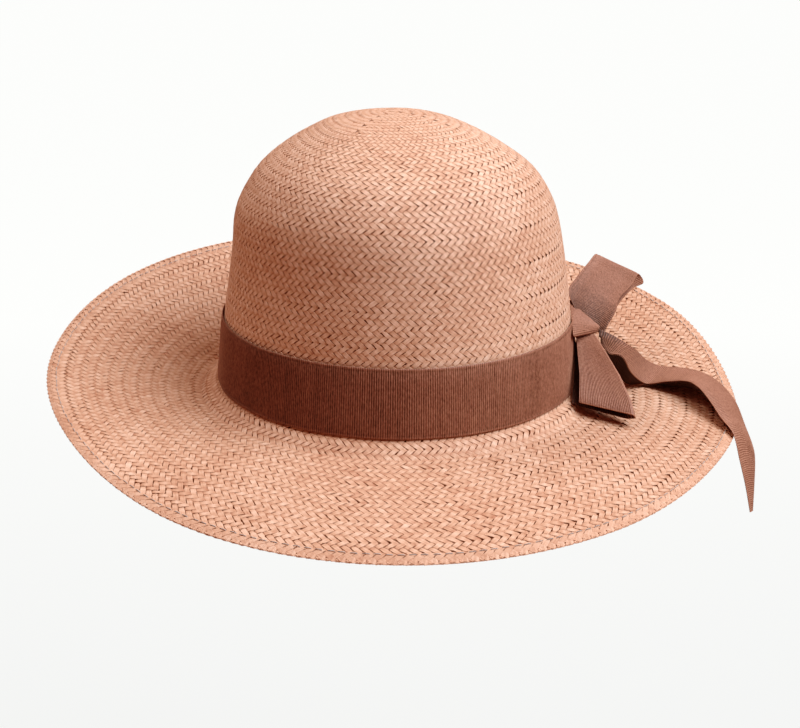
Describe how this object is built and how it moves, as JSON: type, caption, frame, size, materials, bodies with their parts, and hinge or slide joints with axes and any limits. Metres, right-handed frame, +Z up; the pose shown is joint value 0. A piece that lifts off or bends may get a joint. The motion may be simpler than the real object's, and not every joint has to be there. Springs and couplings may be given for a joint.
{
  "type": "straw hat",
  "caption": "Woven straw hat with a rounded crown, a wide wavy brim, a brown ribbed ribbon band and a side bow whose tail hangs over the rim.",
  "frame": {"origin": "middle of the head opening, level with the foot of the ribbon band", "axes": "+Z up through the crown, -Y the front of the hat, +X the wearer's left, where the bow is"},
  "size_m": [0.3346, 0.3425, 0.1788],
  "materials": {
    "straw_crown": "woven straw, satin",
    "straw_brim": "woven straw, satin",
    "ribbon_band": "ribbed grosgrain",
    "ribbon_bow": "ribbed grosgrain"
  },
  "bodies": {
    "root": {"crown": "straw_crown", "brim": "straw_brim", "band": "ribbon_band", "bow_knot": "ribbon_bow", "bow_loop_back": "ribbon_bow", "bow_loop_front": "ribbon_bow", "bow_tail": "ribbon_bow"}
  },
  "joints": []
}
